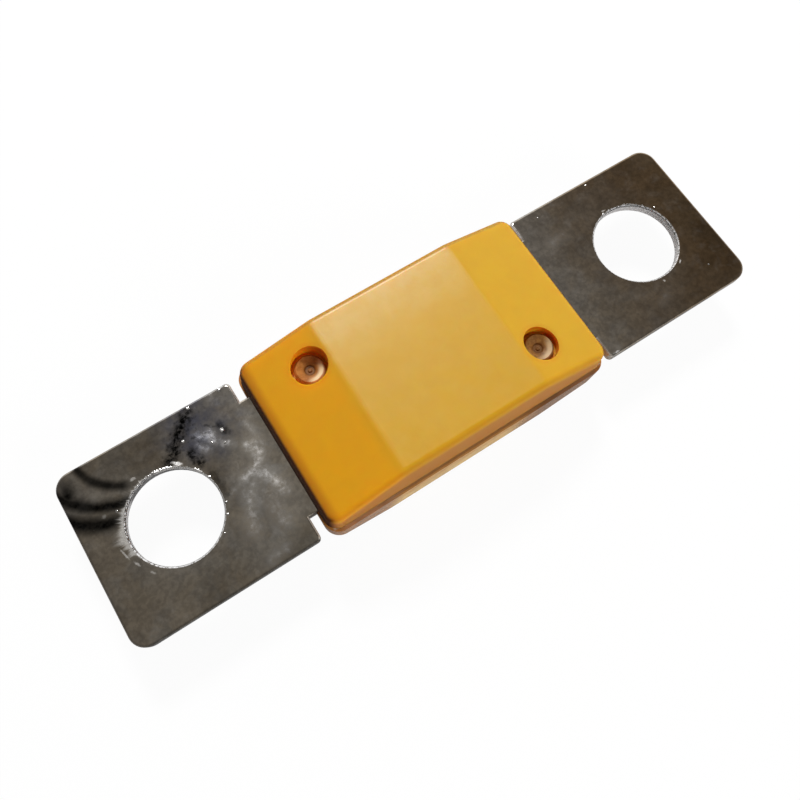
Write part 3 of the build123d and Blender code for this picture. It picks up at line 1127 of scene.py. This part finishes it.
def nodule_mesh():
    mesh = bpy.data.meshes.new("nodules")
    form = bmesh.new()
    for (x, y), radius in NODULES:
        ball = bmesh.ops.create_icosphere(form, subdivisions=3, radius=1.0)["verts"]
        for vert in ball:
            dent = 1 + 0.25 * noise.noise(vert.co * 1.3 + Vector((x, y, 0)))
            low = Vector((vert.co.x * radius, vert.co.y * radius,
                          max(vert.co.z, SUNK) * FLATTENED * radius))
            vert.co = (Vector((x, y, TOP_Z)) + low * dent) * MM
    form.to_mesh(mesh)
    form.free()
    return mesh


add_piece("nodules", nodule_mesh(), TORN_METAL)

# %% [markdown]
# ## Floor, world and lamps
# The fuse lies on a white surface in a soft studio. The camera sees the floor almost as plain white
# and clear plastic sees it so too, while metal mirrors a greyer one; the rest of its light is a true
# diffuse surface that keeps the shadow.

# %% Floor
FLOOR_HALF = 3000  # mm
SEEN_WHITE, SEEN_THROUGH, MIRRORED = 0.95, 0.75, 0.08
FLOOR_PAINT = (0.88, 0.88, 0.88)
FLOOR_IN_METAL = (0.35, 0.35, 0.35)


def floor_material():
    material, tree = new_material("floor")
    path = add_node(tree, "ShaderNodeLightPath").outputs
    share = highest(tree, times(tree, path["Is Camera Ray"], SEEN_WHITE),
                    times(tree, path["Is Glossy Ray"], MIRRORED),
                    times(tree, path["Is Transmission Ray"], SEEN_THROUGH))
    tone = blend(tree, path["Is Glossy Ray"], FLOOR_PAINT, FLOOR_IN_METAL)
    paint = add_node(tree, "ShaderNodeBsdfDiffuse", {"Color": tone})
    white = add_node(tree, "ShaderNodeEmission", {"Color": (1, 1, 1, 1), "Strength": 1.0})
    mix = add_node(tree, "ShaderNodeMixShader", {0: share, 1: paint.outputs[0], 2: white.outputs[0]})
    finish_material(material, mix)
    return material


def add_floor():
    half = FLOOR_HALF * MM
    low = cad_box[0].z
    mesh = bpy.data.meshes.new("floor")
    mesh.from_pydata([(-half, -half, low), (half, -half, low), (half, half, low), (-half, half, low)],
                     [], [(0, 1, 2, 3)])
    mesh.materials.append(floor_material())
    floor = bpy.data.objects.new("floor", mesh)
    bpy.context.scene.collection.objects.link(floor)
    print("floor at", round(low / MM, 2), "mm")


add_floor()

# %% [markdown]
# Metal only looks like metal if it has something to mirror, so the world is bright low down behind
# the object and dim overhead. A colour ramp turns the height of a direction into a level, once for
# the bright side and once for the dim one, and the two are mixed by the direction in plan.

# %% World
OVERHEAD = [(0.77, (0.13, 0.12, 0.11)), (1.0, (0.17, 0.165, 0.155))]
BRIGHT_SIDE = [(0.0, (1.0, 1.0, 1.0)), (0.3, (0.9, 0.9, 0.9)), (0.6, (0.3, 0.3, 0.3))] + OVERHEAD
DIM_SIDE = [(height, (0.12, 0.12, 0.12)) for height in (0.0, 0.3, 0.6)] + OVERHEAD


def ramp(tree, value, stops):
    node = add_node(tree, "ShaderNodeValToRGB", {0: value})
    points = node.color_ramp.elements
    while len(points) < len(stops):
        points.new(0.5)
    for point, (position, level) in zip(points, stops):
        point.position = position
        point.color = (*level, 1)
    return node.outputs[0]


def add_world():
    world = bpy.data.worlds.new("studio")
    bpy.context.scene.world = world
    world.use_nodes = True
    tree = world.node_tree
    tree.nodes.clear()
    x, y, z = split(tree, add_node(tree, "ShaderNodeTexCoord").outputs["Generated"])
    behind = plus(tree, times(tree, x, 0.3), times(tree, y, 0.95))
    side = times(tree, rise(tree, behind, -0.5, 0.7), rise(tree, x, -0.8, 0.1))
    level = blend(tree, side, ramp(tree, z, DIM_SIDE), ramp(tree, z, BRIGHT_SIDE))
    path = add_node(tree, "ShaderNodeLightPath")
    sky = add_node(tree, "ShaderNodeBackground", {"Color": level, "Strength": 1.0})
    white = add_node(tree, "ShaderNodeBackground", {"Color": (1, 1, 1, 1), "Strength": 1.0})
    mix = add_node(tree, "ShaderNodeMixShader", {
        0: path.outputs["Is Camera Ray"], 1: sky.outputs[0], 2: white.outputs[0]})
    add_node(tree, "ShaderNodeOutputWorld", {"Surface": mix.outputs[0]})
    print("world has", len(tree.nodes), "nodes")


add_world()

# %% [markdown]
# Two soft lamps add to it. The key lamp, behind and above, gives the amber roof its haze, on top of
# the painted sheen in the roof's colour. The fill lamp, low in front, lights the front walls and isn't
# mirrored, so the metal stays dark.

# %% Lamps
def add_lamp(name, direction, distance_mm, size_mm, watts, mirrored=True):
    data = bpy.data.lights.new(name, "AREA")
    data.size = size_mm * MM
    data.energy = watts
    lamp = bpy.data.objects.new(name, data)
    lamp.location = Vector(direction).normalized() * distance_mm * MM
    lamp.rotation_mode = "QUATERNION"
    lamp.rotation_quaternion = (-lamp.location).to_track_quat("-Z", "Y")
    lamp.visible_glossy = mirrored
    bpy.context.scene.collection.objects.link(lamp)
    print(name, "lamp gives", watts, "W from", distance_mm, "mm")


add_lamp("key", (0.22, 0.62, 0.75), 450, 90, 1.8)
add_lamp("fill", (0.35, -0.80, 0.45), 500, 250, 1.7, mirrored=False)
bpy.context.scene.view_settings.view_transform = "Standard"
